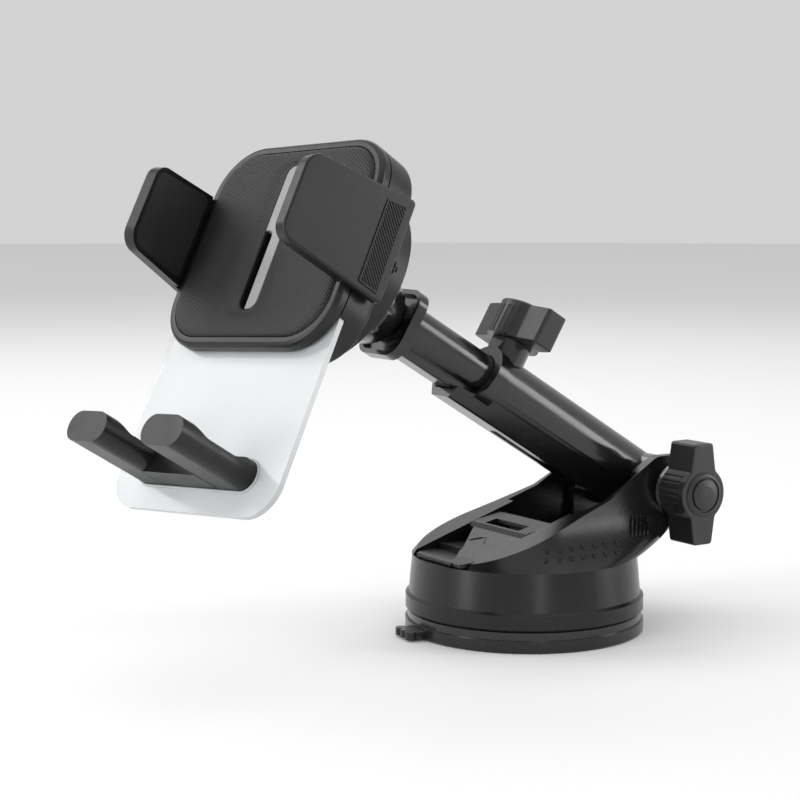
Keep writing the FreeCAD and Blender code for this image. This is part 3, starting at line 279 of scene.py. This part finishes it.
def mesh_from(name, vertices, faces):
    mesh = bpy.data.meshes.new(name)
    mesh.from_pydata([tuple(v) for v in vertices], [], faces)
    mesh.validate()
    mesh.update()
    return mesh


def rounded_rectangle(x0, z0, x1, z1, radius, steps=16):
    """Outline of a rectangle with round corners, anticlockwise from its right side."""
    points = []
    for cx, cz, start in ((x1 - radius, z1 - radius, 0), (x0 + radius, z1 - radius, 90),
                          (x0 + radius, z0 + radius, 180), (x1 - radius, z0 + radius, 270)):
        for step in range(steps + 1):
            angle = math.radians(start + 90 * step / steps)
            points.append((cx + radius * math.cos(angle), cz + radius * math.sin(angle)))
    return points


def resample(points, count):
    """Evenly spaced points on a closed outline, starting above its middle."""
    closed = points + [points[0]]
    lengths = [math.dist(a, b) for a, b in zip(closed, closed[1:])]
    total = sum(lengths)
    middle = (max(p[0] for p in points) + min(p[0] for p in points)) / 2
    run, start = 0.0, 0.0
    best = -1e9
    for (a, b), length in zip(zip(closed, closed[1:]), lengths):
        if length > 0 and (a[0] - middle) * (b[0] - middle) <= 0 and max(a[1], b[1]) > best:
            if a[0] != b[0]:
                best = max(a[1], b[1])
                start = run + length * (a[0] - middle) / (a[0] - b[0])
        run += length
    made = []
    for k in range(count):
        want = (start + total * k / count) % total
        run = 0.0
        for (a, b), length in zip(zip(closed, closed[1:]), lengths):
            if run + length >= want and length > 0:
                t = (want - run) / length
                made.append((a[0] + (b[0] - a[0]) * t, a[1] + (b[1] - a[1]) * t))
                break
            run += length
    return made


def ease(t):
    """Smooth step from 0 to 1."""
    t = max(0.0, min(1.0, t))
    return t * t * (3 - 2 * t)


# ---------------------------------------------------------------------------------------------
# Head pad: a pillowed rubber face with a dished channel round the slot
# ---------------------------------------------------------------------------------------------
PAD_LOW, PAD_HIGH = head_box("head_pad")
PAD_GAP, PAD_CORNER, SLOT_CORNER = 0.05, 13.9, 3.4
PAD_HALF, PAD_TOP, PAD_BOTTOM = PAD_HIGH.x - PAD_GAP, PAD_HIGH.z - PAD_GAP, PAD_LOW.z + PAD_GAP
PAD_FACE, PAD_FOOT = PAD_HIGH.y, PAD_LOW.y + 0.1
BAR_LOW, BAR_HIGH = head_box("slot_bar")
BAR_GAP = 0.1                                      # the slot clears the bar by this much all round
SLOT_LEFT, SLOT_RIGHT = BAR_LOW.x - BAR_GAP, BAR_HIGH.x + BAR_GAP
SLOT_BOTTOM, SLOT_TOP = BAR_LOW.z - BAR_GAP, BAR_HIGH.z + BAR_GAP
RING = 280                                         # points in each loop of the pad's face


def pad_outline(inset):
    return resample(rounded_rectangle(-PAD_HALF + inset, PAD_BOTTOM + inset, PAD_HALF - inset,
                                      PAD_TOP - inset, PAD_CORNER - inset), RING)


def slot_outline(out):
    return resample(rounded_rectangle(SLOT_LEFT - out, SLOT_BOTTOM - 0.6 * out, SLOT_RIGHT + out,
                                      SLOT_TOP + 0.25 * out, SLOT_CORNER + 0.6 * out), RING)


rings = []
for inset, fall in ((0.0, PAD_FACE - PAD_FOOT), (0.02, 1.7), (0.15, 1.25), (0.45, 0.8), (0.95, 0.4),
                    (1.6, 0.15), (2.3, 0.04), (3.0, 0.0)):
    rings.append([(x, PAD_FACE - fall, z) for x, z in pad_outline(inset)])
last_out, first_in = pad_outline(3.0), slot_outline(6.0)
for step in range(1, 8):
    t = step / 8
    rings.append([(a[0] + (b[0] - a[0]) * t, PAD_FACE, a[1] + (b[1] - a[1]) * t)
                  for a, b in zip(last_out, first_in)])
for out in (6.0, 5.2, 4.4, 3.6, 2.8, 2.0, 1.4, 0.8, 0.4, 0.12, 0.0):
    dish = 0.62 * ease((6.0 - out) / 4.6) + (0.0 if out > 0.4 else 0.3 * (0.4 - out) / 0.4)
    rings.append([(x, PAD_FACE - dish, z) for x, z in slot_outline(out)])
rings.append([(x, PAD_FOOT, z) for x, z in slot_outline(0.0)])
vertices = [(x * MM, -n * MM, z * MM) for loop in rings for x, n, z in loop]
faces = []
for loop in range(len(rings)):
    after = (loop + 1) % len(rings)
    for k in range(RING):
        k2 = (k + 1) % RING
        faces.append((loop * RING + k, loop * RING + k2, after * RING + k2, after * RING + k))
pad = piece("head_pad_face", mesh_from("head_pad_face", vertices, faces), WOVEN, "head",
            HEAD)
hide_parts("head_pad")


# ---------------------------------------------------------------------------------------------
# Clamp arms: hatched grip panels
# ---------------------------------------------------------------------------------------------
ARM_LEAN = 8.0
GRIP_NEAR, GRIP_FAR = -0.3, -7.9                   # a grip's two long edges, along its arm
HATCH_ANGLE, HATCH_PITCH, HATCH_WIDTH, HATCH_HEIGHT = 45, 0.95, 0.62, 0.3
FRAME_HEIGHT, GRIP_ROOT = 0.34, -0.1               # the grip's frame, and how deep both start


def arm_place(side):
    """Frame on the arm's outer face: X out of it, Y towards its root, Z up (or down, left)."""
    lean = Matrix.Rotation(math.radians(-ARM_LEAN), 4, "Z")
    turn = Matrix.Identity(4) if side > 0 else Matrix.Rotation(math.pi, 4, "Y")
    low = head_box("arm_grip_right")[0]
    root = low.x - GRIP_FAR * math.sin(math.radians(ARM_LEAN))
    root_out = low.y + GRIP_NEAR * math.cos(math.radians(ARM_LEAN))
    return HEAD @ turn @ Matrix.Translation((root * MM, -root_out * MM, 0)) @ lean


def clip(polygon, a, b, c):
    """The part of a polygon where a*x + b*y >= c."""
    kept = []
    for p, q in zip(polygon, polygon[1:] + polygon[:1]):
        dp, dq = a * p[0] + b * p[1] - c, a * q[0] + b * q[1] - c
        if dp >= 0:
            kept.append(p)
        if dp * dq < 0:
            t = dp / (dp - dq)
            kept.append((p[0] + (q[0] - p[0]) * t, p[1] + (q[1] - p[1]) * t))
    return kept


def bars(polygon, angle, pitch, width, low, high):
    """Parallel bars with bevelled tops that fill a polygon, as vertices and faces (out, y, z)."""
    a, b = math.cos(math.radians(angle)), math.sin(math.radians(angle))
    values = [a * y + b * z for y, z in polygon]
    vertices, faces = [], []
    middle = math.floor(min(values) / pitch) * pitch
    while middle < max(values):
        foot = clip(clip(polygon, a, b, middle - width / 2), -a, -b, -middle - width / 2)
        if len(foot) >= 3:
            count, start = len(foot), len(vertices)
            cy, cz = sum(p[0] for p in foot) / count, sum(p[1] for p in foot) / count
            for level, keep in ((low, 1.0), (high - 0.12, 1.0), (high, 0.55)):
                for y, z in foot:
                    across = (a * (y - cy) + b * (z - cz)) * (keep - 1)
                    vertices.append((level, y + a * across, z + b * across))
            for ring in range(2):
                for k in range(count):
                    k2 = (k + 1) % count
                    faces.append((start + ring * count + k, start + ring * count + k2,
                                  start + (ring + 1) * count + k2, start + (ring + 1) * count + k))
            faces.append(tuple(start + 2 * count + k for k in range(count)))
            faces.append(tuple(start + k for k in reversed(range(count))))
        middle += pitch
    return vertices, faces


for side, name in ((1, "right"), (-1, "left")):
    low, high = head_box(f"arm_grip_{name}")
    top, bottom = (high.z, low.z) if side > 0 else (-low.z, -high.z)
    near, far = GRIP_NEAR, GRIP_FAR
    panel = [(near - 0.5, bottom + 0.5), (far + 0.5, bottom + 1.0), (far + 0.5, top - 1.8),
             (near - 0.5, top - 0.5)]
    vertices, faces = bars(panel, HATCH_ANGLE, HATCH_PITCH, HATCH_WIDTH, GRIP_ROOT, HATCH_HEIGHT)
    frame_out = [(near, bottom), (far, bottom + 0.6), (far, top - 1.4), (near, top)]
    start = len(vertices)
    for level in (GRIP_ROOT, FRAME_HEIGHT):
        vertices += [(level, y, z) for y, z in frame_out]
        vertices += [(level, y, z) for y, z in panel]
    for k in range(4):
        k2 = (k + 1) % 4
        faces += [(start + k, start + k2, start + 8 + k2, start + 8 + k),
                  (start + 4 + k, start + 12 + k, start + 12 + k2, start + 4 + k2),
                  (start + 8 + k, start + 8 + k2, start + 12 + k2, start + 12 + k),
                  (start + k, start + 4 + k, start + 4 + k2, start + k2)]
    made = piece(f"grip_hatch_{name}",
                 mesh_from(f"grip_hatch_{name}", [Vector(v) * MM for v in vertices], faces),
                 SATIN_HEAD, f"{name}_jaw", arm_place(side), smooth=False)
    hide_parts(f"arm_grip_{name}")


# ---------------------------------------------------------------------------------------------
# Thin raised lip of the clear plate round the fork's foot
# ---------------------------------------------------------------------------------------------
FORK_LOW, FORK_HIGH = head_box("foot_fork")
FORK_HALF, FORK_BOTTOM, FORK_TOP, PLATE_FRONT = FORK_HIGH.x, FORK_LOW.z, FORK_HIGH.z, FORK_LOW.y
FORK_CORNER = 4.7
LIP_PROFILE = ((0.75, -0.2), (0.7, 0.45), (0.35, 0.6), (0.08, 0.5), (0.08, -0.2))
vertices = []
for out, rise in LIP_PROFILE:                      # out from the fork's foot, up from the plate
    loop = rounded_rectangle(-FORK_HALF - out, FORK_BOTTOM - out, FORK_HALF + out, FORK_TOP + out,
                             FORK_CORNER + out)
    vertices += [(x * MM, -(PLATE_FRONT + rise) * MM, z * MM) for x, z in loop]
count, levels = len(loop), len(LIP_PROFILE)
faces = []
for a in range(levels):
    b = (a + 1) % levels
    for k in range(count):
        k2 = (k + 1) % count
        faces.append((a * count + k, a * count + k2, b * count + k2, b * count + k))
piece("fork_lip", mesh_from("fork_lip", vertices, faces), PLATE, "foot", HEAD)


# ---------------------------------------------------------------------------------------------
# Moulded relief on the base cover's side and on the lever: even patterns, placed by shares of
# each node's box and laid on its surface
# ---------------------------------------------------------------------------------------------
CLEAR = 0.09                                       # where rays start, outside the base, in metres
DIMPLE_RADIUS, RIB_WIDTH, RIB_HEIGHT, MARK_WIDTH, MARK_HEIGHT = 0.95, 0.8, 0.85, 0.7, 0.32


def surface(node):
    """A node's surface, ready for ray casts."""
    source = NODES[node]
    mesh = bmesh.new()
    mesh.from_mesh(source.data)
    mesh.transform(source.matrix_world)
    tree = BVHTree.FromBMesh(mesh)
    mesh.free()
    return tree


def on_side(tree, y, z):
    """Point and normal on the +X side, at a length and a height in millimetres."""
    spot, normal, _, _ = tree.ray_cast(Vector((CLEAR, y * MM, z * MM)), Vector((-1, 0, 0)))
    return spot, normal


def on_top(tree, x, y):
    """Point and normal on the top, in millimetres."""
    spot, normal, _, _ = tree.ray_cast(Vector((x * MM, y * MM, CLEAR)), Vector((0, 0, -1)))
    return spot, normal


def crater(spot, normal, radius, vertices, faces):
    """A small ring-shaped dimple rim."""
    first = normal.orthogonal().normalized()
    second = normal.cross(first)
    profile = ((0.0, 0.02), (0.45, 0.03), (0.6, 0.4), (0.78, 0.52), (0.95, 0.36), (1.15, -0.1))
    start, around = len(vertices), 14
    vertices.append(spot + normal * profile[0][1] * MM)
    for reach, rise in profile[1:]:
        for k in range(around):
            angle = 2 * math.pi * k / around
            out = first * math.cos(angle) + second * math.sin(angle)
            vertices.append(spot + out * reach * radius * MM + normal * rise * MM)
    for k in range(around):
        k2 = (k + 1) % around
        faces.append((start, start + 1 + k, start + 1 + k2))
        for ring in range(len(profile) - 2):
            a, b = start + 1 + ring * around, start + 1 + (ring + 1) * around
            faces.append((a + k, b + k, b + k2, a + k2))


def ridge(points, width, height, vertices, faces):
    """A raised rib along points given as (spot, normal)."""
    start, count = len(vertices), len(points)
    for k, (spot, normal) in enumerate(points):
        ahead = points[min(k + 1, count - 1)][0] - points[max(k - 1, 0)][0]
        across = ahead.cross(normal).normalized()
        lift = height if 0 < k < count - 1 else 0.3 * height
        for side, rise in ((-0.5, -0.25), (-0.36, lift), (0.36, lift), (0.5, -0.25)):
            vertices.append(spot + across * side * width * MM + normal * rise * MM)
    for k in range(count - 1):
        for q in range(4):
            q2 = (q + 1) % 4
            a, b = start + 4 * k, start + 4 * (k + 1)
            faces.append((a + q, a + q2, b + q2, b + q))
    faces.append(tuple(start + q for q in reversed(range(4))))
    faces.append(tuple(start + 4 * (count - 1) + q for q in range(4)))


def between(find, tree, first, last, steps):
    """Points and normals found along a straight line over a surface."""
    return [find(tree, first[0] + (last[0] - first[0]) * k / steps,
                 first[1] + (last[1] - first[1]) * k / steps) for k in range(steps + 1)]


def within(node):
    """Turns shares of a node's box (0 to 1 along X, Y and Z) into millimetres."""
    low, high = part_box(node)
    return lambda x, y, z: [(low[k] + (high[k] - low[k]) * share) / MM
                            for k, share in enumerate((x, y, z))]


COVER, in_cover = surface("base_cover"), within("base_cover")
vertices, faces = [], []
for row in range(2):                               # an even, staggered field of grip dimples
    for column in range(7):
        _, y, z = in_cover(1, 0.22 + 0.05 * (column + 0.5 * row), 0.11 + 0.08 * row)
        crater(*on_side(COVER, y, z), DIMPLE_RADIUS, vertices, faces)
piece("cover_dimples", mesh_from("cover_dimples", vertices, faces), SATIN, "base")

vertices, faces = [], []
for k in range(5):                                 # five slanted ribs at an even pitch
    foot, top = in_cover(1, 0.62 + 0.018 * k, 0.22)[1:], in_cover(1, 0.66 + 0.018 * k, 0.42)[1:]
    ridge(between(on_side, COVER, foot, top, 6), RIB_WIDTH, RIB_HEIGHT, vertices, faces)
piece("cover_ribs", mesh_from("cover_ribs", vertices, faces), SATIN, "base",
      smooth=False)

LEVER, in_lever = surface("lock_lever"), within("lock_lever")
vertices, faces = [], []
for share in (0.36, 0.64):                         # a plain chevron on the middle of the lever
    side, point = in_lever(share, 0.4, 1)[:2], in_lever(0.5, 0.5, 1)[:2]
    ridge(between(on_top, LEVER, side, point, 4), MARK_WIDTH, MARK_HEIGHT, vertices, faces)
piece("lever_mark", mesh_from("lever_mark", vertices, faces), SATIN, "lever",
      smooth=False)


# ---------------------------------------------------------------------------------------------
# Floor, light and camera
# ---------------------------------------------------------------------------------------------
def floor_material():
    """Plain pale matt floor."""
    g = Graph("pale_floor")
    tone = g.span(g.noise(2, 2), 0.3, 0.7)
    g.shade(Base_Color=g.colours(tone, (0.86, 0.86, 0.86), (0.88, 0.88, 0.88)), Roughness=0.8,
            Specular_IOR_Level=0.0)
    return g.material


FLOOR_RADIUS, WORLD_STRENGTH = 4, 0.65
bpy.ops.mesh.primitive_circle_add(vertices=96, radius=FLOOR_RADIUS, fill_type="NGON", location=(0, 0, 0))
floor = bpy.context.object
floor.name = "floor"
floor.data.materials.append(floor_material())

world = bpy.data.worlds.new("studio")
bpy.context.scene.world = world
world.use_nodes = True
world.node_tree.nodes["Background"].inputs["Color"].default_value = (1, 1, 1, 1)
world.node_tree.nodes["Background"].inputs["Strength"].default_value = WORLD_STRENGTH
bpy.context.scene.view_settings.view_transform = "Standard"


CAMERA_AT = Vector((0.5304, -0.3969, 0.1541))
CAMERA_BACK = Vector((0.8324, -0.5427, 0.1134))    # from what it looks at towards the camera


def softbox(name, bearing, height, distance, width, tall, radiance):
    """A soft panel, placed by its bearing from the camera's side (left is negative) in degrees."""
    light = bpy.data.lights.new(name, "AREA")
    light.shape = "RECTANGLE"
    light.size, light.size_y = width, tall
    light.energy = radiance * width * tall * math.pi
    made = bpy.data.objects.new(name, light)
    bpy.context.scene.collection.objects.link(made)
    angle = math.atan2(CAMERA_BACK.y, CAMERA_BACK.x) + math.radians(bearing)
    spot = LIT + Vector((distance * math.cos(angle), distance * math.sin(angle), height))
    made.location = spot
    made.rotation_euler = (LIT - spot).to_track_quat("-Z", "Y").to_euler()


LIT = Vector((0, -0.05, 0.08))                     # what the panels face
softbox("soft_top", 0, 1.2, 0.05, 1.3, 1.3, 0.55)
softbox("soft_left", -62, 0.25, 1.1, 0.3, 1.3, 6.5)
softbox("soft_far_left", -108, 0.72, 1.1, 0.7, 0.6, 2.6)
softbox("soft_front", 14, 0.05, 1.5, 0.24, 0.9, 4.5)
softbox("soft_right", 88, 0.2, 1.1, 0.3, 1.2, 4.5)
softbox("soft_back", 180, 0.9, 1.1, 0.9, 0.5, 1.8)

camera_data = bpy.data.cameras.new("camera")
camera_data.lens = 87.7
camera_data.sensor_width = 36
camera_data.clip_start, camera_data.clip_end = 0.01, 100
camera = bpy.data.objects.new("camera", camera_data)
bpy.context.scene.collection.objects.link(camera)
camera.location = CAMERA_AT
camera.rotation_euler = (-CAMERA_BACK).to_track_quat("-Z", "Y").to_euler()
bpy.context.scene.camera = camera
